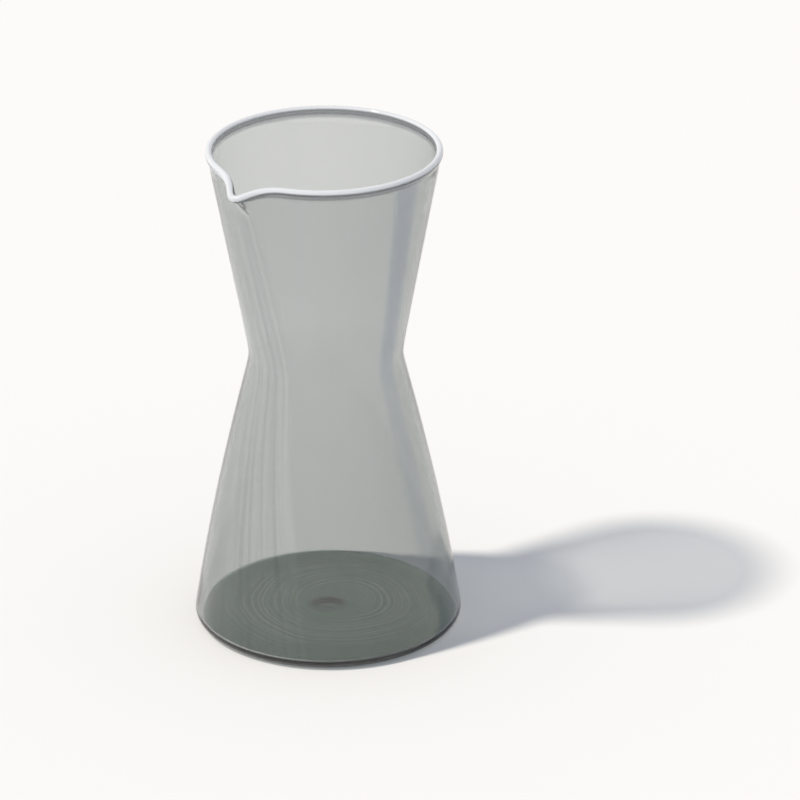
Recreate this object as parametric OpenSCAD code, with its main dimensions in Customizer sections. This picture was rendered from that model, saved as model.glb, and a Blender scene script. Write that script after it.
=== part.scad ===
// Water carafe: an hourglass vessel in thin smoke-grey glass, with a fire-polished rim and one
// pinched pouring lip. The real vessel is one piece of glass. It is drawn here as the zones that
// are worked one after another, and they meet face to face where the glass is whole.
// The axis is +Z, the table is at z = 0, and the lip points along +X.

/* [Body] */
// Height from the table to the top of the rim
height = 220; // [190:1:260]
// Outer diameter of the lower wall, carried down to the table
foot_d = 118.5; // [100:0.5:140]
// Outer diameter at the waist, the narrowest place
waist_d = 67.2; // [54:0.5:84]
// Height of the waist above the table
waist_z = 125; // [100:0.5:140]
// Outer diameter of the upper wall, carried up to the top of the rim
mouth_d = 101; // [90:1:124]
// Outward bow of the lower wall at half its height
belly_bow = 1.8; // [0:0.1:4]
// Width over which the two straight walls melt into each other at the waist
waist_soft = 1.6; // [0.4:0.1:5]

/* [Glass] */
// Thickness of the blown wall
wall_t = 2; // [1.4:0.1:2.6]
// Thickness of the floor where it meets the wall
floor_t = 3; // [2:0.1:5]

/* [Foot] */
// Radius of the outer heel
heel_r = 4.5; // [2:0.1:7]
// Radius of the inner corner between wall and floor
corner_r = 2; // [1:0.1:8]
// Width of the flat ring that stands on the table
stand_w = 3; // [1:0.1:6]
// Rise of the pushed-up underside at its centre
kick_h = 0.8; // [0:0.1:4]
// Diameter of the domed hollow at the centre of the underside
hollow_d = 14.8; // [10:0.2:24]
// Depth of that hollow at its centre
hollow_h = 1; // [0.2:0.1:1.6]
// Diameter of the nub in the middle of the hollow
nub_d = 4.8; // [3:0.2:8]
// Diameter of the nub's level face
nub_level_d = 2.4; // [1:0.2:2.8]
// How far the nub stands down from the hollow
nub_h = 0.35; // [0.1:0.05:0.6]
// Height of the foot zone, the floor with the lowest part of the wall
foot_h = 14; // [11:0.5:20]

/* [Zones of the wall] */
// Height of the band that makes the turn at the waist
waist_band_h = 30; // [16:1:40]
// Height of the band that the lip is drawn from
lip_band_h = 16; // [10:1:24]

/* [Rim] */
// Thickness of the fire-polished rim, across the wall
rim_t = 3.2; // [2.8:0.1:4.4]
// Full height of the rim's oval section, of which the wall takes the lowest part
rim_h = 4; // [3:0.1:6]

/* [Pouring lip] */
// Angle that the V of the lip takes up, seen from above
lip_angle = 52; // [36:1:64]
// How far the tip of the lip stands out past the round rim
lip_reach = 7.2; // [3:0.1:9]
// How far the tip of the lip hangs below the round rim
lip_drop = 3.5; // [1:0.1:6]

/* [Hidden] */

// Facets of a full turn, and steps along each curve
$fn = 120;
heel_steps = 8;
nub_steps = 6;
hollow_steps = 8;
floor_steps = 14;
foot_steps = 3;
lower_steps = 14;
waist_steps = 14;
upper_steps = 6;
band_steps = 8;
rim_steps = 7;
lip_stations = 48;

// Colours of the glass: one wall, the floor, and the rim that gathers the light
wall_colour = [0.69, 0.71, 0.70];
floor_colour = [0.40, 0.44, 0.42];
rim_colour = [0.90, 0.91, 0.93];

// Roundness of the tip, as a share of the V's half angle, and how steeply the V closes to it
tip_round_share = 0.1;
tip_power = 3.2;
// How steeply the lip fades out down its band
fade_power = 1.5;
// How closely the lip's stations crowd towards the tip
crowd_power = 1.6;
// Angle and share over which the lip's surface is probed for its direction
probe_angle = 3;
probe_share = 0.02;

// Radius at which the two straight walls would cross
cross_r = (waist_d - waist_soft) / 2;
lower_end_z = waist_z - waist_band_h / 2;
upper_start_z = waist_z + waist_band_h / 2;

// Half axes of the rim's oval, and the angle at which the wall's faces run into it
rim_a = rim_t / 2;
rim_b = rim_h / 2;
rim_join_angle = acos(wall_t / rim_t);
upper_slope = (mouth_d / 2 - cross_r) / (height - waist_z);
upper_lean = atan(upper_slope);
rim_rise = rim_b * sin(rim_join_angle) * cos(upper_lean);
rim_top = sqrt(pow(rim_a * sin(upper_lean), 2) + pow(rim_b * cos(upper_lean), 2));

// The lip's band runs from its foot to where the rim begins
band_top_z = height - rim_rise - rim_top;
band_z = band_top_z - lip_band_h;

// The lip's own sector ends where the rim is round again
half_v = lip_angle / 2;
lip_end = half_v + probe_angle;

// Outer wall: two cones, the lower one bowed, that melt together at the waist
function lower_r(z) = foot_d / 2 + (cross_r - foot_d / 2) * z / waist_z
    + 4 * belly_bow * (z / waist_z) * (1 - z / waist_z);
function upper_r(z) = cross_r + upper_slope * (z - waist_z);
function lower_slope(z) = (cross_r - foot_d / 2 + 4 * belly_bow * (1 - 2 * z / waist_z)) / waist_z;
function melt(z) = sqrt(pow(lower_r(z) - upper_r(z), 2) + pow(waist_soft, 2));
function outer_r(z) = (lower_r(z) + upper_r(z) + melt(z)) / 2;
function slope(z) = (lower_slope(z) + upper_slope
    + (lower_r(z) - upper_r(z)) * (lower_slope(z) - upper_slope) / melt(z)) / 2;

// Width of the wall, measured level, so that it is wall_t thick square to its own face
function wall_w(z) = wall_t * sqrt(1 + pow(slope(z), 2));
function inner_r(z) = outer_r(z) - wall_w(z);
function mid_r(z) = outer_r(z) - wall_w(z) / 2;

// Half outline of a wall zone between two heights
function wall_outline(z0, z1, steps) = concat(
    [for (i = [0 : steps]) let (z = z0 + (z1 - z0) * i / steps) [outer_r(z), z]],
    [for (i = [steps : -1 : 0]) let (z = z0 + (z1 - z0) * i / steps) [inner_r(z), z]]
);

// Heel: an arc that leaves the table level and runs up into the outer wall
heel_lean = -atan(slope(heel_r));
heel_x = outer_r(heel_r) - heel_r / cos(heel_lean);
heel_end_z = heel_r + heel_r * sin(heel_lean);
stand_r = heel_x - stand_w;

// Inner corner: an arc from the inner wall to the floor
corner_z = floor_t + corner_r;
corner_lean = -atan(slope(corner_z));
corner_x = inner_r(corner_z) - corner_r / cos(corner_lean);
corner_end_z = corner_z + corner_r * sin(corner_lean);

// Underside and floor: one soft swell each, and the hollow with its nub at the centre of the underside
function swell(r, full_r, level_r) = r <= level_r ? 1
    : r >= full_r ? 0
    : (1 + cos(180 * (r - level_r) / (full_r - level_r))) / 2;
function dome(r) = max(0, 1 - pow(2 * r / hollow_d, 2));
function under_z(r) = kick_h * swell(r, stand_r, 0)
    + hollow_h * dome(r)
    - nub_h * swell(r, nub_d / 2, nub_level_d / 2);
function floor_z(r) = floor_t + kick_h * swell(r, corner_x, 0);

base_outline = concat(
    [for (i = [0 : nub_steps]) let (r = nub_d / 2 * i / nub_steps) [r, under_z(r)]],
    [for (i = [1 : hollow_steps]) let (r = nub_d / 2 + (hollow_d - nub_d) / 2 * i / hollow_steps)
        [r, under_z(r)]],
    [for (i = [1 : floor_steps]) let (r = hollow_d / 2 + (stand_r - hollow_d / 2) * i / floor_steps)
        [r, under_z(r)]],
    [for (i = [0 : heel_steps]) let (a = -90 + (90 + heel_lean) * i / heel_steps)
        [heel_x + heel_r * cos(a), heel_r + heel_r * sin(a)]],
    [for (i = [1 : foot_steps]) let (z = heel_end_z + (foot_h - heel_end_z) * i / foot_steps)
        [outer_r(z), z]],
    [for (i = [foot_steps : -1 : 1]) let (z = corner_end_z + (foot_h - corner_end_z) * i / foot_steps)
        [inner_r(z), z]],
    [for (i = [heel_steps : -1 : 0]) let (a = -90 + (90 + corner_lean) * i / heel_steps)
        [corner_x + corner_r * cos(a), corner_z + corner_r * sin(a)]],
    [for (i = [floor_steps - 1 : -1 : 0]) let (r = corner_x * i / floor_steps) [r, floor_z(r)]]
);

// Lip: how far the rim is moved out and down at an angle from the tip, at the top of its band
function from_tip(a) = (sqrt(pow(a / half_v, 2) + pow(tip_round_share, 2)) - tip_round_share)
    / (sqrt(1 + pow(tip_round_share, 2)) - tip_round_share);
function lip_v(a) = pow(max(0, 1 - from_tip(a)), tip_power);
function fade(s) = pow(max(0, s), fade_power);

// Middle surface of the lip's band, at an angle from the tip and a share of the band's height
function middle(a, s) = let (
    z = band_z + lip_band_h * s,
    r = mid_r(z) + lip_reach * lip_v(a) * fade(s)
) [r * cos(a), r * sin(a), z - lip_drop * lip_v(a) * fade(s)];

function unit(v) = v / norm(v);
function along(a, s) = unit(middle(a + probe_angle, s) - middle(a - probe_angle, s));
function up_wall(a, s) = middle(a, s + probe_share) - middle(a, s - probe_share);
function facing(a, s) = unit(cross(along(a, s), up_wall(a, s)));

// The wall's thickness is laid off level at the foot of the band, and square to the glass at its top
function across(a, s) = let (n = facing(a, s)) unit([n.x, n.y, n.z * fade(s)]);
function half_wall(a, s) = across(a, s) * wall_t / 2 / (across(a, s) * facing(a, s));

// One ring of the wall's section, up its outer face and down its inner face
function band_ring(a) = concat(
    [for (i = [0 : band_steps]) let (s = i / band_steps) middle(a, s) + half_wall(a, s)],
    [for (i = [band_steps : -1 : 0]) let (s = i / band_steps) middle(a, s) - half_wall(a, s)]
);

// One ring of the rim's oval section, from the wall's outer face over the top to its inner face
rim_step_angle = (90 + rim_join_angle) / (rim_steps + 0.5);
function rim_up(a) = unit(cross(facing(a, 1), along(a, 1)));
function rim_centre(a) = middle(a, 1) + rim_up(a) * rim_b * sin(rim_join_angle);
function rim_ring(a) = let (c = rim_centre(a), n = facing(a, 1), u = rim_up(a)) [
    for (i = [0 : 2 * rim_steps + 1]) let (t = rim_step_angle * i - rim_join_angle)
        c + n * rim_a * cos(t) + u * rim_b * sin(t)
];

// Half outline of a ring, for the round part of the mouth
function outline_of(ring) = [for (p = ring) [norm([p.x, p.y]), p.z]];

// Angles of the lip's stations, from one end of its sector to the other
station_angles = [for (j = [0 : lip_stations]) let (s = 2 * j / lip_stations - 1)
    lip_end * sign(s) * pow(abs(s), crowd_power)];

// A solid through a row of rings of equal count, closed at both ends by strips
module skin_rings(rings) {
    n = len(rings[0]);
    last = len(rings) - 1;
    sides = [for (j = [0 : last - 1], i = [0 : n - 1]) let (
        a = j * n + i,
        b = j * n + (i + 1) % n
    ) each [[a, b, b + n], [a, b + n, a + n]]];
    first_cap = [for (i = [0 : n / 2 - 2]) each [
        [i, n - 1 - i, n - 2 - i],
        [i, n - 2 - i, i + 1]
    ]];
    last_cap = [for (t = first_cap) [t[0] + last * n, t[2] + last * n, t[1] + last * n]];
    polyhedron(
        points = [for (ring = rings) each ring],
        faces = concat(sides, first_cap, last_cap)
    );
}

// The round part of the mouth, from one end of the lip's sector round to the other
module round_part(ring) {
    rotate([0, 0, lip_end]) rotate_extrude(angle = 360 - 2 * lip_end) polygon(outline_of(ring));
}

// Floor with its pushed-up underside, standing ring, heel and the lowest part of the wall
module base() {
    color(floor_colour) rotate_extrude() polygon(base_outline);
}

// Bowed cone of the lower wall
module lower_wall() {
    color(wall_colour) rotate_extrude() polygon(wall_outline(foot_h, lower_end_z, lower_steps));
}

// Tight turn between the two cones
module waist() {
    color(wall_colour) rotate_extrude() polygon(wall_outline(lower_end_z, upper_start_z, waist_steps));
}

// Straight cone of the upper wall
module upper_wall() {
    color(wall_colour) rotate_extrude() polygon(wall_outline(upper_start_z, band_z, upper_steps));
}

// Round part of the band under the rim
module mouth_wall() {
    color(wall_colour) round_part(band_ring(lip_end));
}

// Part of that band that is drawn out into the V of the lip
module pouring_lip() {
    color(wall_colour) skin_rings([for (a = station_angles) band_ring(a)]);
}

// Round part of the fire-polished rim
module rim() {
    color(rim_colour) round_part(rim_ring(lip_end));
}

// Part of the rim that follows the lip
module lip_rim() {
    color(rim_colour) skin_rings([for (a = station_angles) rim_ring(a)]);
}

base();
lower_wall();
waist();
upper_wall();
mouth_wall();
pouring_lip();
rim();
lip_rim();
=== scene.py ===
import math

import bpy
from mathutils import Matrix, Vector


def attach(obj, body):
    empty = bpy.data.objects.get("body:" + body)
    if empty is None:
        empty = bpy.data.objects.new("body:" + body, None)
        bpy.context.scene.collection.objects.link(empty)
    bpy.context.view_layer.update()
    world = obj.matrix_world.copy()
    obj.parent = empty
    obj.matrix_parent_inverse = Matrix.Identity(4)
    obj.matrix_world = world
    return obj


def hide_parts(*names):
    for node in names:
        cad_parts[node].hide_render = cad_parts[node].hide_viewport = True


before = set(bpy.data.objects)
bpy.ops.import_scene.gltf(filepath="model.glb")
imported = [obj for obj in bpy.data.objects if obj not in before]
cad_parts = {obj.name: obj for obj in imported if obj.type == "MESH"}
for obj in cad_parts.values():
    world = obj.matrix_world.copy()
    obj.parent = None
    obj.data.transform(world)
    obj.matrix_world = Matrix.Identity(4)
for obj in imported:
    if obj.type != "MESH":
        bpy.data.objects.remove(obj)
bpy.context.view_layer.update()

# The carafe's blown glass. The real piece is one gather of smoke-grey soda-lime glass, blown in an
# hourglass mould, cut off at the mouth, fire-polished to a rounded rim, and pulled to a lip while hot.

MM = 0.001

# Outside of the body
HEIGHT = 220 * MM
FOOT_R = 59.25 * MM
WAIST_R = 33.6 * MM
WAIST_Z = 125 * MM
WAIST_SOFT = 1.6 * MM
MOUTH_R = 50.5 * MM
BELLY_BOW = 1.8 * MM

# Thickness of the wall and the floor, the corner between them inside, greyed as painted shade, and the heel
# outside, whitened a little as painted light
WALL_T = 2 * MM
FLOOR_T = 3 * MM
CORNER_R = 2 * MM
# Painted shade: a few rows of the inner corner are greyed to give the floor's edge a dark line
CORNER_GREY = 0.6
HEEL_R = 4.5 * MM
# Painted light: a little white on the heel's turn lightens the dark band seen through it
HEEL_WEAR = 0.1

# Underside and floor: standing ring, rise, hollow and nub, and where the rings in the glass are clear
STAND_W = 3 * MM
KICK_H = 0.8 * MM
HOLLOW_R = 7.4 * MM
HOLLOW_H = 1 * MM
NUB_R = 2.4 * MM
NUB_LEVEL_R = 1.2 * MM
NUB_H = 0.35 * MM
RING_CLEAR = 30 * MM
RING_SPREAD = 17 * MM
RING_LEAST = 0.12
# Where the floor's middle is darkened, as painted shade for the dark reflection in the hollow under it
CENTRE_R = 11 * MM
CENTRE_LEVEL_R = 6 * MM

# Rim and lip
RIM_A = 1.6 * MM
RIM_B = 2 * MM
LIP_BAND_H = 16 * MM
LIP_REACH = 7.2 * MM
LIP_DROP = 3.5 * MM
HALF_V = math.radians(26)
TIP_ROUND = 0.1
TIP_POWER = 3.2
FADE_POWER = 1.5
CREASE_H = 7 * MM
KEEL_V = math.radians(6)

# Painted light and shade of the rim and its pinch, by the angle round its section from its outermost line
# up and over: white on top is painted light, grey lines below and the dark pinch inside are painted shade
WHITE_FROM = math.radians(8)
WHITE_TO = math.radians(170)
WHITE_FADE = math.radians(24)
WIDE_FROM = math.radians(-42)
GREY_FADE = math.radians(60)
GREY_LEAST = 0.75
GREY_RUN = 1 * MM
GREY_END = 2 * MM
LINE_STEP = math.radians(44)
LINE_DIP = 0.25
PINCH_AT = math.radians(186)
PINCH_W = math.radians(34)
PINCH_STEEP = 2

# How far round the axis from the lip's tip the pinch's painted shade and the wider painted white reach
PINCH_FULL_V = math.radians(6)
PINCH_V = math.radians(13)
WIDE_NEAR = math.radians(-4)
WIDE_FAR = math.radians(-70)

# The bore lies a little off centre, as in any mouth-blown piece, and wanders gently
BORE_SHIFT = 0.32 * MM
BORE_SIDE = math.radians(182)
BORE_WANDER = 0.06 * MM
BORE_TURN = 1.3
BORE_RUN = 70 * MM
BORE_SEED = 3.7
BORE_FADE = 14 * MM
RIM_FADE = 4 * MM
WAIST_THIN = 0.28 * MM
WAIST_THIN_H = 26 * MM

# The sheet's first and last stations are welded, and its rows that shrink to a point on the axis
WELD = 0.0002 * MM

CROSS_R = WAIST_R - WAIST_SOFT / 2
UPPER_SLOPE = (MOUTH_R - CROSS_R) / (HEIGHT - WAIST_Z)
RIM_JOIN = math.acos(WALL_T / 2 / RIM_A)
UPPER_LEAN = math.atan(UPPER_SLOPE)
RIM_RISE = RIM_B * math.sin(RIM_JOIN)
BAND_TOP_Z = (HEIGHT - RIM_RISE * math.cos(UPPER_LEAN)
              - math.hypot(RIM_A * math.sin(UPPER_LEAN), RIM_B * math.cos(UPPER_LEAN)))
BAND_Z = BAND_TOP_Z - LIP_BAND_H


def lower_radius(z):
    share = z / WAIST_Z
    return FOOT_R + (CROSS_R - FOOT_R) * share + 4 * BELLY_BOW * share * (1 - share)


def upper_radius(z):
    return CROSS_R + UPPER_SLOPE * (z - WAIST_Z)


def outer_radius(z):
    """Two cones, the lower one bowed, that melt together at the waist."""
    low, high = lower_radius(z), upper_radius(z)
    return (low + high + math.hypot(low - high, WAIST_SOFT)) / 2


def slope(z):
    step = 0.05 * MM
    return (outer_radius(z + step) - outer_radius(z - step)) / (2 * step)


def wall_width(z):
    return WALL_T * math.hypot(1, slope(z))


def bore_radius(z):
    """Inside of the wall, which is thinnest where the mould held the glass at the waist."""
    thinner = WAIST_THIN * math.exp(-((z - WAIST_Z) / WAIST_THIN_H) ** 2)
    return outer_radius(z) - wall_width(z) + thinner


def swell(r, full, level=0):
    """From 1 inside the level middle down to 0 at the full radius."""
    return (1 + math.cos(math.pi * min(max((r - level) / (full - level), 0), 1))) / 2


def between(low, high, steps):
    return [low + (high - low) * i / steps for i in range(steps + 1)]


heel_lean = -math.atan(slope(HEEL_R))
heel_x = outer_radius(HEEL_R) - HEEL_R / math.cos(heel_lean)
heel_end = HEEL_R + HEEL_R * math.sin(heel_lean)
stand_r = heel_x - STAND_W
corner_z = FLOOR_T + CORNER_R
corner_lean = -math.atan(slope(corner_z))
corner_x = outer_radius(corner_z) - wall_width(corner_z) - CORNER_R / math.cos(corner_lean)
corner_end = corner_z + CORNER_R * math.sin(corner_lean)

# Rows of the half section, closest together at the waist and wherever the glass turns
NUB_ROWS = 8
HOLLOW_ROWS = 9
KICK_ROWS = 16
HEEL_ROWS = 12
LOWER_ROWS = (7 * MM, 108 * MM, 26)
WAIST_ROWS = (110 * MM, 140 * MM, 24)
UPPER_ROWS = (144 * MM, BAND_Z, 12)
BAND_ROWS = 16
RIM_ROWS = 26
CORNER_ROWS = 12
# Rows of the inner corner greyed as painted shade, and where the floor's tint fades out
CORNER_GREY_ROWS = (2, 3, 4)
TINT_END_ROW = 5
TINT_FADE_ROWS = 2
FLOOR_ROWS = 22

# Half section of the vessel. On the lip's band a point is given by its share of the band's height
# and its offsets across and up the wall. The other marks say how much of a treatment it gets.
below = [heel_end] + between(*LOWER_ROWS) + between(*WAIST_ROWS) + between(*UPPER_ROWS)
shares = between(0, 1, BAND_ROWS)


def underside(r):
    """Height of the standing face: a wide shallow rise, a domed hollow and the nub in its middle."""
    dome = max(0, 1 - (r / HOLLOW_R) ** 2)
    return KICK_H * swell(r, stand_r) + HOLLOW_H * dome - NUB_H * swell(r, NUB_R, NUB_LEVEL_R)


def polish(a, start=WHITE_FROM):
    """How white the rim is painted at an angle up from its outermost line: painted light on its top."""
    rise = (a - start) / WHITE_FADE
    fall = (WHITE_TO - a) / WHITE_FADE
    return min(max(min(rise, fall), 0), 1)


def shade(a):
    """How grey the rim is painted at that angle, as painted shade: in two lines, and least where it joins
    the wall.
    """
    away = max(WHITE_FROM - a, a - WHITE_TO, 0)
    dip = LINE_DIP * (1 - math.cos(math.tau * away / LINE_STEP)) / 2
    return (1 - polish(a)) * (1 - dip - (1 - GREY_LEAST) * min(away / GREY_FADE, 1))


def pinched(a):
    """How dark the inside of the rim is painted where the tool pinched it, as painted shade: level in the
    middle.
    """
    return min(PINCH_STEEP * max(1 - abs(a - PINCH_AT) / PINCH_W, 0), 1)


def under_rim(share):
    """How grey the inside of the wall is still painted, as painted shade, a little way down from the rim.
    """
    down = (1 - share) * LIP_BAND_H
    return GREY_LEAST * min(max((GREY_END - down) / GREY_RUN, 0), 1)


def creased(share):
    """How far up its crease the lip's keel is: 1 at the rim and 0 from the crease's foot down."""
    return max(1 - (1 - share) * LIP_BAND_H / CREASE_H, 0)


def ring_share(r):
    """How clear the rings in the floor are: clearest halfway out, and faint at its middle and edge."""
    return max(RING_LEAST, 1 - ((r - RING_CLEAR) / RING_SPREAD) ** 2)


def spot(radius=0, height=0, **marks):
    """A point of the section with its marks. A mark that isn't named is 0."""
    return radius, height, marks


def floor_edge(corner_row):
    """How much of the floor's tint a row of the corner still has, counted from the floor."""
    return min(max((TINT_END_ROW - corner_row) / TINT_FADE_ROWS, 0), 1)


section = [spot(r, underside(r))
           for r in between(0, NUB_R, NUB_ROWS) + between(NUB_R, HOLLOW_R, HOLLOW_ROWS)[1:]
           + between(HOLLOW_R, stand_r, KICK_ROWS)[1:]]
# Heel, painted a little white round its turn as painted light
section += [spot(heel_x + HEEL_R * math.cos(a), HEEL_R + HEEL_R * math.sin(a),
                 rim_white=HEEL_WEAR * math.sin(2 * a) ** 2)
            for a in between(-math.pi / 2, heel_lean, HEEL_ROWS)]
section += [spot(outer_radius(z), z) for z in below[1:]]
section += [spot(band_share=s, across=0.5, crease=creased(s), rim_shade=GREY_LEAST * (s == 1))
            for s in shares[1:]]
# Rim, painted white on top as painted light, and grey below and dark in its pinch as painted shade
section += [spot(band_share=1, across=RIM_A * math.cos(a) / WALL_T, up_wall=RIM_RISE + RIM_B * math.sin(a),
                 rim_white=polish(a), wide_white=polish(a, WIDE_FROM), rim_shade=shade(a), pinch=pinched(a))
            for a in between(-RIM_JOIN, math.pi + RIM_JOIN, RIM_ROWS)[1:-1]]
section += [spot(band_share=s, across=-0.5, rim_shade=under_rim(s),
                 bore=min((1 - s) * LIP_BAND_H / RIM_FADE, 1)) for s in reversed(shares[1:])]
section += [spot(bore_radius(z), z, bore=min((z - corner_end) / BORE_FADE, 1))
            for z in reversed(below[1:]) if z > corner_end]
# Inner corner, greyed on a few rows as painted shade
section += [spot(corner_x + CORNER_R * math.cos(a), corner_z + CORNER_R * math.sin(a),
                 floor=floor_edge(i), rim_shade=CORNER_GREY * (i in CORNER_GREY_ROWS))
            for i, a in reversed(list(enumerate(between(-math.pi / 2, corner_lean, CORNER_ROWS))))]
# Floor, its middle darkened as painted shade
section += [spot(r, FLOOR_T + KICK_H * swell(r, corner_x), floor=1, rings=ring_share(r),
                 centre=swell(r, CENTRE_R, CENTRE_LEVEL_R))
            for r in reversed(between(0, corner_x, FLOOR_ROWS)[:-1])]

MARKS = ("band_share", "across", "up_wall", "bore", "rim_white", "wide_white", "rim_shade", "crease",
         "pinch", "floor", "rings", "centre")
outline = bpy.data.meshes.new("vessel_outline")
outline.from_pydata([(r, 0, z) for r, z, _ in section],
                    [(i, i + 1) for i in range(len(section) - 1)], [])
for name in MARKS:
    layer = outline.attributes.new(name, "FLOAT", "POINT")
    layer.data.foreach_set("value", [marks.get(name, 0) for _, _, marks in section])
vessel = bpy.data.objects.new("glass_vessel", outline)
bpy.context.scene.collection.objects.link(vessel)


def add(tree, kind, inputs=None, **settings):
    """Adds a node with its settings, and links or sets its inputs."""
    made = tree.nodes.new(kind)
    for name, value in settings.items():
        setattr(made, name, value)
    for key, value in (inputs or {}).items():
        if isinstance(value, bpy.types.NodeSocket):
            tree.links.new(value, made.inputs[key])
        else:
            made.inputs[key].default_value = value
    return made


lathe = bpy.data.node_groups.new("blown vessel", "GeometryNodeTree")
face = lathe.interface
face.new_socket("Geometry", in_out="INPUT", socket_type="NodeSocketGeometry")
face.new_socket("Geometry", in_out="OUTPUT", socket_type="NodeSocketGeometry")
sizes = {
    "Stations": 360, "Crowding": 0.62, "Band foot": BAND_Z, "Band height": LIP_BAND_H,
    "Band radius": outer_radius(BAND_Z) - wall_width(BAND_Z) / 2, "Band slope": UPPER_SLOPE,
    "Wall": WALL_T, "Lip half angle": HALF_V, "Lip reach": LIP_REACH, "Lip drop": LIP_DROP,
    "Tip roundness": TIP_ROUND, "Tip power": TIP_POWER, "Fade power": FADE_POWER,
    "Probe angle": math.radians(3), "Probe share": 0.02,
    "Keel half angle": KEEL_V, "Pinch half angle": PINCH_V, "Pinch full": PINCH_FULL_V,
    "Wide white near": WIDE_NEAR, "Wide white far": WIDE_FAR,
    "Bore shift": BORE_SHIFT, "Bore side": BORE_SIDE, "Bore wander": BORE_WANDER,
    "Bore turn": BORE_TURN, "Bore run": BORE_RUN, "Bore seed": BORE_SEED,
    "Weld distance": WELD,
}
sockets = {}
for name, value in sizes.items():
    kind = "NodeSocketInt" if isinstance(value, int) else "NodeSocketFloat"
    sockets[name] = face.new_socket(name, in_out="INPUT", socket_type=kind)
glass_socket = face.new_socket("Glass", in_out="INPUT", socket_type="NodeSocketMaterial")
given = add(lathe, "NodeGroupInput").outputs


def sums(operation, *values):
    """Output of a chain of one arithmetic operation over sockets and numbers."""
    total = values[0]
    for value in values[1:]:
        total = add(lathe, "ShaderNodeMath", {0: total, 1: value}, operation=operation).outputs[0]
    return total


def lip_pull(angle):
    """How far out and how far down the rim is pulled, at an angle from the tip."""
    away = sums("DIVIDE", angle, given["Lip half angle"])
    blunt = sums("SQRT", sums("ADD", sums("MULTIPLY", away, away),
                              sums("MULTIPLY", given["Tip roundness"], given["Tip roundness"])), 0)
    full = sums("SQRT", sums("ADD", sums("MULTIPLY", given["Tip roundness"], given["Tip roundness"]),
                             1), 0)
    from_tip = sums("DIVIDE", sums("SUBTRACT", blunt, given["Tip roundness"]),
                    sums("SUBTRACT", full, given["Tip roundness"]))
    v = sums("POWER", sums("MAXIMUM", sums("SUBTRACT", 1, from_tip), 0), given["Tip power"])
    return sums("MULTIPLY", v, given["Lip reach"]), sums("MULTIPLY", v, given["Lip drop"])


def middle(angle, share, pull):
    """Middle of the glass at an angle from the tip and a share of the band's height."""
    fade = sums("POWER", sums("MAXIMUM", share, 0), given["Fade power"])
    rise = sums("MULTIPLY", share, given["Band height"])
    radius = sums("ADD", sums("MULTIPLY", rise, given["Band slope"]), given["Band radius"],
                  sums("MULTIPLY", pull[0], fade))
    height = sums("SUBTRACT", sums("ADD", rise, given["Band foot"]), sums("MULTIPLY", pull[1], fade))
    return add(lathe, "ShaderNodeCombineXYZ", {
        "X": sums("MULTIPLY", radius, sums("COSINE", angle, 0)),
        "Y": sums("MULTIPLY", radius, sums("SINE", angle, 0)),
        "Z": height,
    }).outputs[0]


# Sheet of stations round the axis by points of the section, closer together near the lip
rows = add(lathe, "GeometryNodeAttributeDomainSize",
           {"Geometry": given["Geometry"]}).outputs["Point Count"]
sheet = add(lathe, "GeometryNodeMeshGrid", {
    "Size X": 1.0, "Size Y": 1.0,
    "Vertices X": sums("ADD", given["Stations"], 1), "Vertices Y": rows,
}).outputs["Mesh"]
flat = add(lathe, "ShaderNodeSeparateXYZ",
           {0: add(lathe, "GeometryNodeInputPosition").outputs[0]}).outputs
turn = sums("MULTIPLY", flat["X"], 2 * math.pi)
angle = sums("SUBTRACT", turn, sums("MULTIPLY", sums("SINE", turn, 0), given["Crowding"]))
row = sums("MULTIPLY", sums("ADD", flat["Y"], 0.5), sums("SUBTRACT", rows, 1))


def on_section(socket, kind):
    return add(lathe, "GeometryNodeSampleIndex", {
        "Geometry": given["Geometry"], "Value": socket,
        "Index": sums("ROUND", row, 0),
    }, data_type=kind).outputs["Value"]


place = add(lathe, "ShaderNodeSeparateXYZ", {
    0: on_section(add(lathe, "GeometryNodeInputPosition").outputs[0], "FLOAT_VECTOR"),
}).outputs
marks = {
    name: on_section(add(lathe, "GeometryNodeInputNamedAttribute", {"Name": name},
                         data_type="FLOAT").outputs["Attribute"], "FLOAT")
    for name in MARKS
}
share = marks["band_share"]
wander = add(lathe, "ShaderNodeTexNoise", {
    "Vector": add(lathe, "ShaderNodeCombineXYZ", {
        "X": sums("MULTIPLY", sums("COSINE", angle, 0), given["Bore turn"]),
        "Y": sums("MULTIPLY", sums("SINE", angle, 0), given["Bore turn"]),
        "Z": sums("DIVIDE", place["Z"], given["Bore run"]),
    }).outputs[0],
    "W": given["Bore seed"], "Scale": 1.0, "Detail": 0.0,
}, noise_dimensions="4D").outputs[0]
wander = sums("MULTIPLY", sums("SUBTRACT", wander, 0.5), 2, given["Bore wander"])
thick_side = sums("COSINE", sums("SUBTRACT", angle, given["Bore side"]), 0)
bore = sums("MULTIPLY", sums("SUBTRACT", wander, sums("MULTIPLY", thick_side, given["Bore shift"])),
            marks["bore"])
radius = sums("ADD", place["X"], bore)
plain = add(lathe, "ShaderNodeCombineXYZ", {
    "X": sums("MULTIPLY", radius, sums("COSINE", angle, 0)),
    "Y": sums("MULTIPLY", radius, sums("SINE", angle, 0)),
    "Z": place["Z"],
}).outputs[0]

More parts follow.
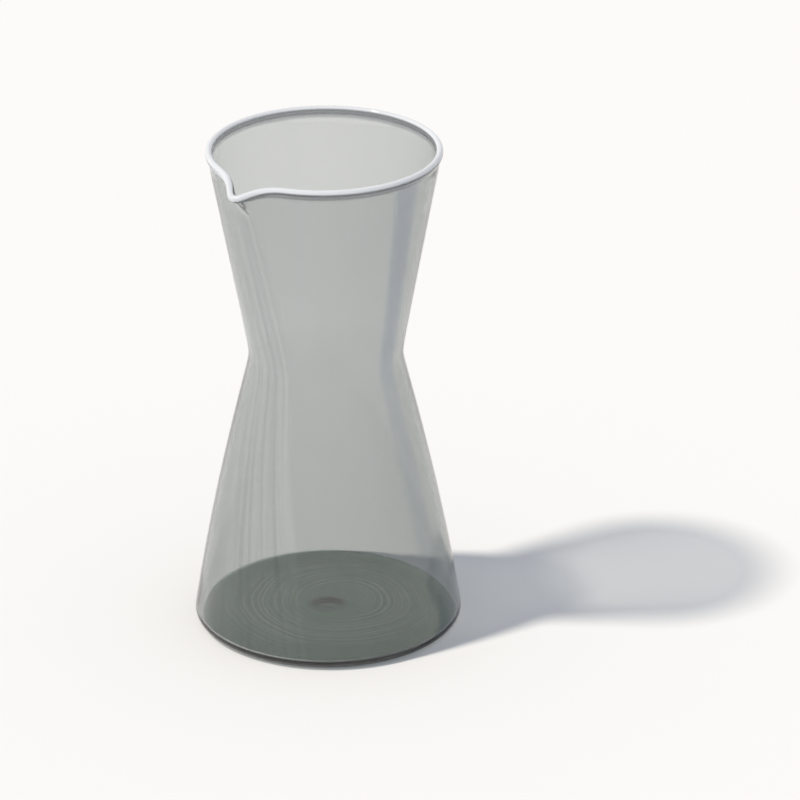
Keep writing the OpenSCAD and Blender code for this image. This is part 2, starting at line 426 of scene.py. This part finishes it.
# Direction of the glass on the lip's band, read from points a little to each side
before = sums("SUBTRACT", angle, given["Probe angle"])
after = sums("ADD", angle, given["Probe angle"])
pull = lip_pull(angle)
here = middle(angle, share, pull)
along = add(lathe, "ShaderNodeVectorMath", {
    0: middle(after, share, lip_pull(after)), 1: middle(before, share, lip_pull(before)),
}, operation="SUBTRACT").outputs[0]
along = add(lathe, "ShaderNodeVectorMath", {0: along}, operation="NORMALIZE").outputs[0]
climb = add(lathe, "ShaderNodeVectorMath", {
    0: middle(angle, sums("ADD", share, given["Probe share"]), pull),
    1: middle(angle, sums("SUBTRACT", share, given["Probe share"]), pull),
}, operation="SUBTRACT").outputs[0]
facing = add(lathe, "ShaderNodeVectorMath", {0: along, 1: climb}, operation="CROSS_PRODUCT").outputs[0]
facing = add(lathe, "ShaderNodeVectorMath", {0: facing}, operation="NORMALIZE").outputs[0]
upward = add(lathe, "ShaderNodeVectorMath", {0: facing, 1: along}, operation="CROSS_PRODUCT").outputs[0]

# The thickness is laid off level at the foot of the band, and square to the glass at its top
parts = add(lathe, "ShaderNodeSeparateXYZ", {0: facing}).outputs
fade = sums("POWER", sums("MAXIMUM", share, 0), given["Fade power"])
level = add(lathe, "ShaderNodeCombineXYZ", {
    "X": parts["X"], "Y": parts["Y"], "Z": sums("MULTIPLY", parts["Z"], fade),
}).outputs[0]
level = add(lathe, "ShaderNodeVectorMath", {0: level}, operation="NORMALIZE").outputs[0]
lean = add(lathe, "ShaderNodeVectorMath", {0: level, 1: facing}, operation="DOT_PRODUCT").outputs["Value"]
step_out = add(lathe, "ShaderNodeVectorMath", {
    0: level,
    "Scale": sums("DIVIDE", sums("ADD", sums("MULTIPLY", marks["across"], given["Wall"]), bore), lean),
}, operation="SCALE").outputs[0]
step_up = add(lathe, "ShaderNodeVectorMath", {0: upward, "Scale": marks["up_wall"]},
              operation="SCALE").outputs[0]
band = add(lathe, "ShaderNodeVectorMath", {
    0: add(lathe, "ShaderNodeVectorMath", {0: here, 1: step_out}, operation="ADD").outputs[0],
    1: step_up,
}, operation="ADD").outputs[0]
chosen = add(lathe, "GeometryNodeSwitch", {
    "Switch": sums("GREATER_THAN", share, 0), "False": plain, "True": band,
}, input_type="VECTOR").outputs[0]

# Where the tool pulled the lip, the glass is creased down its keel and pinched inside its rim, both marked
# with painted shade, and to one side the rim's painted white, painted light, comes further over
from_keel = sums("ABSOLUTE", angle, 0)
marks["crease"] = sums("MULTIPLY", marks["crease"],
                       sums("LESS_THAN", from_keel, given["Keel half angle"]))
near_tip = add(lathe, "ShaderNodeMapRange", {
    "Value": from_keel, "From Min": given["Pinch half angle"], "From Max": given["Pinch full"],
}, interpolation_type="SMOOTHSTEP").outputs[0]
marks["pinch"] = sums("MULTIPLY", marks["pinch"], near_tip)
beside = add(lathe, "ShaderNodeMapRange", {
    "Value": angle, "From Min": 0.0, "From Max": given["Wide white near"],
}, interpolation_type="SMOOTHSTEP").outputs[0]
beyond = add(lathe, "ShaderNodeMapRange", {
    "Value": angle, "From Min": given["Wide white far"], "From Max": given["Wide white near"],
}, interpolation_type="SMOOTHSTEP").outputs[0]
marks["rim_white"] = sums("MAXIMUM", marks["rim_white"],
                          sums("MULTIPLY", marks["wide_white"], beside, beyond))
for name in ("rim_white", "rim_shade", "floor", "rings", "centre", "crease", "pinch"):
    sheet = add(lathe, "GeometryNodeStoreNamedAttribute",
                {"Geometry": sheet, "Name": name, "Value": marks[name]},
                data_type="FLOAT", domain="POINT").outputs[0]
shaped = add(lathe, "GeometryNodeSetPosition", {"Geometry": sheet, "Position": chosen}).outputs[0]
closed = add(lathe, "GeometryNodeMergeByDistance",
             {"Geometry": shaped, "Distance": given["Weld distance"]}).outputs[0]
smooth = add(lathe, "GeometryNodeSetShadeSmooth", {"Geometry": closed}).outputs[0]
real = add(lathe, "GeometryNodeRealizeInstances", {"Geometry": smooth}).outputs[0]
finished = add(lathe, "GeometryNodeSetMaterial",
               {"Geometry": real, "Material": given["Glass"]}).outputs[0]
add(lathe, "NodeGroupOutput", {0: finished})

# Smoke-grey soda-lime glass: polished, clear, and darker the more of it the light crosses. The rim is
# painted white above as painted light and holds a cool grey line below as painted shade. Fine cords of
# uneven glass run down the walls, most of all under the pulled lip, partly as painted reflection, and turn
# in faint rings in the floor.
SMOKE = "#b4bab7"
SMOKE_DENSITY = 272.0
GLASS_IOR = 1.5
SHEEN = 0.1
SHEEN_POLISH = 0.06
SHADOW_PASS = 0.78

# Rim, painted white as painted light and grey as painted shade, and the lip's crease with its two lines of
# painted shade a little to one side of the keel
RIM_WHITE = "#f2f4f8"
RIM_GREY = "#7f828a"
RIM_CLEAR = 0.15
CREASE_COLOUR = "#15181a"
CREASE_SIDE = 1.3 * MM
CREASE_OPEN = 1.4 * MM
CREASE_W = 0.6 * MM
CREASE_FADE = 0.1

# Floor, greener for its thickness and darkened as painted shade for the shaded table seen through it, with
# paler rings that swirl round a point off its middle
FLOOR_TINT = "#8bb893"
FLOOR_RING = "#ffffff"
# Painted shade: the floor's middle is darkened to stand in for the dark reflection in the hollow under it
FLOOR_MIDDLE = "#5c6e63"
RING_CENTRE = (-8 * MM, 1 * MM, 3 * MM)
RING_STEP = 1.6 * MM
RING_RUN = 40 * MM
RING_SWAY = 7 * MM
RING_ROUGH = 0.7
RING_FROM = 0.47
RING_TO = 0.62
RING_PATCH = 22 * MM
PATCH_FROM = 0.3
PATCH_TO = 0.52

# Cords, which turn as they climb and are strongest on the side under the lip. They are partly painted
# reflection: their streaks and the lighter wall below the waist stand in for the surroundings reflected in
# the glass
CORD_DARK = "#dcdfe1"
CORD_LIGHT = "#ffffff"
CORD_TURN = 24.0
CORD_RUN = 150 * MM
CORD_FROM = 0.3
CORD_TO = 0.7
CORD_SWAY = 0.25
CORD_TWIST = math.radians(0.17) / MM
CORD_SIDE = math.radians(10)
CORD_FULL = math.cos(math.radians(10))
CORD_FAINT = math.cos(math.radians(30))
CORD_NONE = 0.64
CORD_LOW = 0.42
CORD_HIGH = -0.05

# Painted reflection: one broad cool band up the wall, fainter below the waist, standing in for a cool
# reflection in the glass
FOLD_COLOUR = "#d9dde8"
FOLD_TWIST = math.radians(0.07) / MM
FOLD_SIDE = math.radians(102)
FOLD_FULL = math.cos(math.radians(3))
FOLD_EDGE = math.cos(math.radians(10))
FOLD_LOW = 0.45


def linear(hex_code):
    """Linear colour of an sRGB hex code."""
    values = [int(hex_code[i:i + 2], 16) / 255 for i in (1, 3, 5)]
    return (*(v / 12.92 if v <= 0.04045 else ((v + 0.055) / 1.055) ** 2.4 for v in values), 1)


glass = bpy.data.materials.new("smoke_grey_soda_lime_glass")
glass.use_nodes = True
tree = glass.node_tree
tree.nodes.clear()
white, grey, floor, rings, centre, crease, pinch = (
    add(tree, "ShaderNodeAttribute", attribute_name=name).outputs["Fac"]
    for name in ("rim_white", "rim_shade", "floor", "rings", "centre", "crease", "pinch")
)
point = add(tree, "ShaderNodeTexCoord").outputs["Object"]
place = add(tree, "ShaderNodeSeparateXYZ", {0: point}).outputs
height = place["Z"]
outward = add(tree, "ShaderNodeVectorMath", {0: point, 1: (1, 1, 0)}, operation="MULTIPLY").outputs[0]
outward = add(tree, "ShaderNodeVectorMath", {0: outward}, operation="NORMALIZE").outputs[0]
cord_way, fold_way = (
    add(tree, "ShaderNodeVectorRotate", {
        "Vector": outward,
        "Angle": add(tree, "ShaderNodeMath", {0: height, 1: twist}, operation="MULTIPLY").outputs[0],
    }, rotation_type="Z_AXIS").outputs[0]
    for twist in (CORD_TWIST, FOLD_TWIST)
)

# Cords, partly painted reflection: noise stretched up the wall and closed round the axis
cord_place = add(tree, "ShaderNodeVectorMath", {
    0: add(tree, "ShaderNodeVectorMath", {0: cord_way, "Scale": CORD_TURN}, operation="SCALE").outputs[0],
    1: add(tree, "ShaderNodeCombineXYZ", {
        "Z": add(tree, "ShaderNodeMath", {0: height, 1: CORD_RUN}, operation="DIVIDE").outputs[0],
    }).outputs[0],
}, operation="ADD").outputs[0]
cord = add(tree, "ShaderNodeTexNoise", {
    "Vector": cord_place, "Scale": 1.0, "Detail": 1.0, "Roughness": 0.5, "Distortion": CORD_SWAY,
}).outputs[0]
cord = add(tree, "ShaderNodeMapRange", {
    "Value": cord, "From Min": CORD_FROM, "From Max": CORD_TO,
}).outputs[0]
# Painted reflection: the cords are lighter below the waist
lighter = add(tree, "ShaderNodeMapRange", {
    "Value": height, "From Min": WAIST_Z - WAIST_THIN_H, "From Max": WAIST_Z + WAIST_THIN_H,
    "To Min": CORD_LOW, "To Max": CORD_HIGH,
}).outputs[0]
cord = add(tree, "ShaderNodeMath", {0: cord, 1: lighter}, operation="ADD").outputs[0]
cord_side = add(tree, "ShaderNodeVectorMath", {
    0: cord_way, 1: (math.cos(CORD_SIDE), math.sin(CORD_SIDE), 0),
}, operation="DOT_PRODUCT").outputs["Value"]
cord_side = add(tree, "ShaderNodeMapRange", {
    "Value": cord_side, "From Min": CORD_FAINT, "From Max": CORD_FULL,
}, interpolation_type="SMOOTHSTEP").outputs[0]
cord = add(tree, "ShaderNodeMix", {"Factor": cord_side, "A": CORD_NONE, "B": cord},
           data_type="FLOAT").outputs["Result"]
# Painted reflection: the cool band up the wall
fold = add(tree, "ShaderNodeVectorMath", {
    0: fold_way, 1: (math.cos(FOLD_SIDE), math.sin(FOLD_SIDE), 0),
}, operation="DOT_PRODUCT").outputs["Value"]
fold = add(tree, "ShaderNodeMapRange", {
    "Value": fold, "From Min": FOLD_EDGE, "From Max": FOLD_FULL,
}, interpolation_type="SMOOTHSTEP").outputs[0]
fainter = add(tree, "ShaderNodeMapRange", {
    "Value": height, "From Min": WAIST_Z - WAIST_THIN_H / 2, "From Max": WAIST_Z + WAIST_THIN_H / 2,
    "To Min": FOLD_LOW,
}).outputs[0]
fold = add(tree, "ShaderNodeMath", {0: fold, 1: fainter}, operation="MULTIPLY").outputs[0]

# Rings in the floor: noise by the distance from a point off the centre, swayed so that they swirl
sway = add(tree, "ShaderNodeTexNoise", {"Vector": point, "Scale": 1 / RING_RUN, "Detail": 1.0}).outputs[0]
ring = add(tree, "ShaderNodeVectorMath", {0: point, 1: RING_CENTRE}, operation="DISTANCE").outputs["Value"]
ring = add(tree, "ShaderNodeMath", {0: sway, 1: RING_SWAY, 2: ring}, operation="MULTIPLY_ADD").outputs[0]
ring = add(tree, "ShaderNodeMath", {0: ring, 1: RING_STEP}, operation="DIVIDE").outputs[0]
ring = add(tree, "ShaderNodeTexNoise", {
    "W": ring, "Scale": 1.0, "Detail": 4.0, "Roughness": RING_ROUGH,
}, noise_dimensions="1D").outputs[0]
ring = add(tree, "ShaderNodeMapRange", {
    "Value": ring, "From Min": RING_FROM, "From Max": RING_TO,
}).outputs[0]
ring = add(tree, "ShaderNodeMath", {0: ring, 1: rings}, operation="MULTIPLY").outputs[0]
patch = add(tree, "ShaderNodeTexNoise", {"Vector": point, "Scale": 1 / RING_PATCH}).outputs[0]
patch = add(tree, "ShaderNodeMapRange", {
    "Value": patch, "From Min": PATCH_FROM, "From Max": PATCH_TO,
}).outputs[0]
ring = add(tree, "ShaderNodeMath", {0: ring, 1: patch}, operation="MULTIPLY").outputs[0]

# Painted shade at the lip: two dark lines down its crease that start apart at the rim and meet lower down,
# beside the keel, and the dark pinch inside the rim above them
line = add(tree, "ShaderNodeMath", {0: place["Y"], 1: CREASE_SIDE}, operation="SUBTRACT").outputs[0]
line = add(tree, "ShaderNodeMath", {0: line}, operation="ABSOLUTE").outputs[0]
line = add(tree, "ShaderNodeMath", {
    0: line, 1: add(tree, "ShaderNodeMath", {0: crease, 1: CREASE_OPEN}, operation="MULTIPLY").outputs[0],
}, operation="SUBTRACT").outputs[0]
line = add(tree, "ShaderNodeMath", {0: line}, operation="ABSOLUTE").outputs[0]
line = add(tree, "ShaderNodeMapRange", {"Value": line, "From Min": CREASE_W, "From Max": 0.0},
           interpolation_type="SMOOTHSTEP").outputs[0]
crease = add(tree, "ShaderNodeMapRange", {"Value": crease, "From Max": CREASE_FADE}).outputs[0]
crease = add(tree, "ShaderNodeMath", {0: crease, 1: line}, operation="MULTIPLY").outputs[0]
crease = add(tree, "ShaderNodeMath", {0: crease, 1: pinch}, operation="MAXIMUM").outputs[0]

# Tint of the glass, laid from the walls to the rim and the lip, with its painted light, shade and
# reflection
floor_tint = add(tree, "ShaderNodeMix", {
    "Factor": ring, "A": linear(FLOOR_TINT), "B": linear(FLOOR_RING),
}, data_type="RGBA").outputs["Result"]
floor_tint = add(tree, "ShaderNodeMix", {"Factor": centre, "A": floor_tint, "B": linear(FLOOR_MIDDLE)},
                 data_type="RGBA").outputs["Result"]
tint = linear(CORD_DARK)
tints = ((cord, linear(CORD_LIGHT)), (fold, linear(FOLD_COLOUR)), (floor, floor_tint),
         (grey, linear(RIM_GREY)), (white, linear(RIM_WHITE)), (crease, linear(CREASE_COLOUR)))
for amount, colour in tints:
    tint = add(tree, "ShaderNodeMix", {"Factor": amount, "A": tint, "B": colour},
               data_type="RGBA").outputs["Result"]

# The rim's painted white, painted light, is less clear. Elsewhere each surface lets a share of the direct
# light through to the table, and the soft light whole
clearness = add(tree, "ShaderNodeMapRange", {"Value": white, "To Min": 1.0, "To Max": RIM_CLEAR}).outputs[0]
body = add(tree, "ShaderNodeBsdfPrincipled", {
    "Base Color": tint, "Roughness": 0.0, "IOR": GLASS_IOR, "Transmission Weight": clearness,
    "Coat Weight": SHEEN, "Coat Roughness": SHEEN_POLISH,
})
path = add(tree, "ShaderNodeLightPath").outputs
kept = add(tree, "ShaderNodeMix", {
    "Factor": path["Is Shadow Ray"], "A": (1, 1, 1, 1), "B": (SHADOW_PASS, SHADOW_PASS, SHADOW_PASS, 1),
}, data_type="RGBA").outputs["Result"]
clear = add(tree, "ShaderNodeBsdfTransparent", {"Color": kept})
passing = add(tree, "ShaderNodeMath", {0: path["Is Shadow Ray"], 1: path["Is Diffuse Ray"]},
              operation="MAXIMUM").outputs[0]
passing = add(tree, "ShaderNodeMath", {0: passing, 1: clearness}, operation="MULTIPLY").outputs[0]
surface = add(tree, "ShaderNodeMixShader", {0: passing, 1: body.outputs[0], 2: clear.outputs[0]})
smoke = add(tree, "ShaderNodeVolumeAbsorption", {"Color": linear(SMOKE), "Density": SMOKE_DENSITY})
add(tree, "ShaderNodeOutputMaterial", {"Surface": surface.outputs[0], "Volume": smoke.outputs[0]})

worked = vessel.modifiers.new("blown", "NODES")
worked.node_group = lathe
for name, value in sizes.items():
    worked[sockets[name].identifier] = value
worked[glass_socket.identifier] = glass
made = bpy.data.meshes.new_from_object(vessel.evaluated_get(bpy.context.evaluated_depsgraph_get()))
vessel.modifiers.remove(worked)
vessel.data = made
made.name = "glass_vessel"

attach(vessel, "root")
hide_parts("base", "lower_wall", "waist", "upper_wall", "mouth_wall", "pouring_lip", "rim",
            "lip_rim")

# The table top under it, a plain pale surface that keeps the shadow. It isn't part of the object.
TABLE_WHITE = "#fdfbf9"
TABLE_REACH = 6000 * MM
TABLE_Z = -0.05 * MM
table_mesh = bpy.data.meshes.new("table_top")
table_mesh.from_pydata([(x * TABLE_REACH, y * TABLE_REACH, TABLE_Z)
                        for x, y in ((-1, -1), (1, -1), (1, 1), (-1, 1))], [], [(0, 1, 2, 3)])
table_top = bpy.data.objects.new("table_top", table_mesh)
bpy.context.scene.collection.objects.link(table_top)
paint = bpy.data.materials.new("pale_table")
paint.use_nodes = True
paint.node_tree.nodes.clear()
matt = add(paint.node_tree, "ShaderNodeBsdfDiffuse", {"Color": linear(TABLE_WHITE)})
add(paint.node_tree, "ShaderNodeOutputMaterial", {"Surface": matt.outputs[0]})
table_mesh.materials.append(paint)

# Soft studio light: a pale room all round, which the camera, the gloss and the glass see as white, and
# one key from the camera's left, a little in front and above, with a soft edge to its shadow
ROOM_WHITE = "#fdfbf9"
ROOM_LIGHT = "#e9effb"
ROOM_LEVEL = 0.52
AZIMUTH = math.radians(131.3)
KEY_LEVEL = 2.21
KEY_COLOUR = (1, 0.957, 0.865)
KEY_WIDTH = math.radians(5)
KEY_LIFT = math.radians(55)
KEY_LEFT = 0.966
KEY_FRONT = 0.26
world = bpy.data.worlds.new("pale_room")
bpy.context.scene.world = world
world.use_nodes = True
world.node_tree.nodes.clear()
rays = add(world.node_tree, "ShaderNodeLightPath").outputs
seen = add(world.node_tree, "ShaderNodeMath",
           {0: rays["Is Camera Ray"], 1: rays["Is Glossy Ray"]}, operation="MAXIMUM").outputs[0]
seen = add(world.node_tree, "ShaderNodeMath",
           {0: seen, 1: rays["Is Transmission Ray"]}, operation="MAXIMUM").outputs[0]
strength = add(world.node_tree, "ShaderNodeMapRange",
               {"Value": seen, "To Min": ROOM_LEVEL, "To Max": 1.0}).outputs[0]
colour = add(world.node_tree, "ShaderNodeMix", {
    "Factor": seen, "A": linear(ROOM_LIGHT), "B": linear(ROOM_WHITE),
}, data_type="RGBA").outputs["Result"]
air = add(world.node_tree, "ShaderNodeBackground", {"Color": colour, "Strength": strength})
add(world.node_tree, "ShaderNodeOutputWorld", {"Surface": air.outputs[0]})

key = bpy.data.lights.new("soft_key", "SUN")
key.energy = KEY_LEVEL
key.color = KEY_COLOUR
key.angle = KEY_WIDTH
key_light = bpy.data.objects.new("soft_key", key)
bpy.context.scene.collection.objects.link(key_light)
key_from = Vector((-KEY_LEFT * math.cos(KEY_LIFT), -KEY_FRONT * math.cos(KEY_LIFT), math.sin(KEY_LIFT)))
key_light.rotation_mode = "QUATERNION"
key_light.rotation_quaternion = (Matrix.Rotation(AZIMUTH, 3, "Z") @ key_from).to_track_quat("Z", "Y")

# Camera at the photograph's angle: a long lens 41 degrees round from the lip, turned a little to the right
ELEVATION = math.radians(23.966)
DISTANCE = 2408.4 * MM
CAMERA_TURN = math.radians(-0.758)
CAMERA_TILT = math.radians(-0.1766)
CAMERA_ROLL = math.radians(-0.5275)
camera_data = bpy.data.cameras.new("camera")
camera_data.sensor_width = 36
camera_data.lens = 250
camera_data.clip_end = 100
camera = bpy.data.objects.new("camera", camera_data)
bpy.context.scene.collection.objects.link(camera)
aim = Matrix.Rotation(AZIMUTH, 4, "Z") @ Matrix.Rotation(math.pi / 2 - ELEVATION, 4, "X")
turned = (Matrix.Rotation(CAMERA_TURN, 4, "Y") @ Matrix.Rotation(CAMERA_TILT, 4, "X")
          @ Matrix.Rotation(CAMERA_ROLL, 4, "Z"))
back = aim.to_3x3() @ Vector((0, 0, DISTANCE))
camera.matrix_world = Matrix.Translation(back + Vector((0, 0, HEIGHT / 2))) @ aim @ turned
bpy.context.scene.camera = camera
bpy.context.scene.view_settings.view_transform = "Standard"
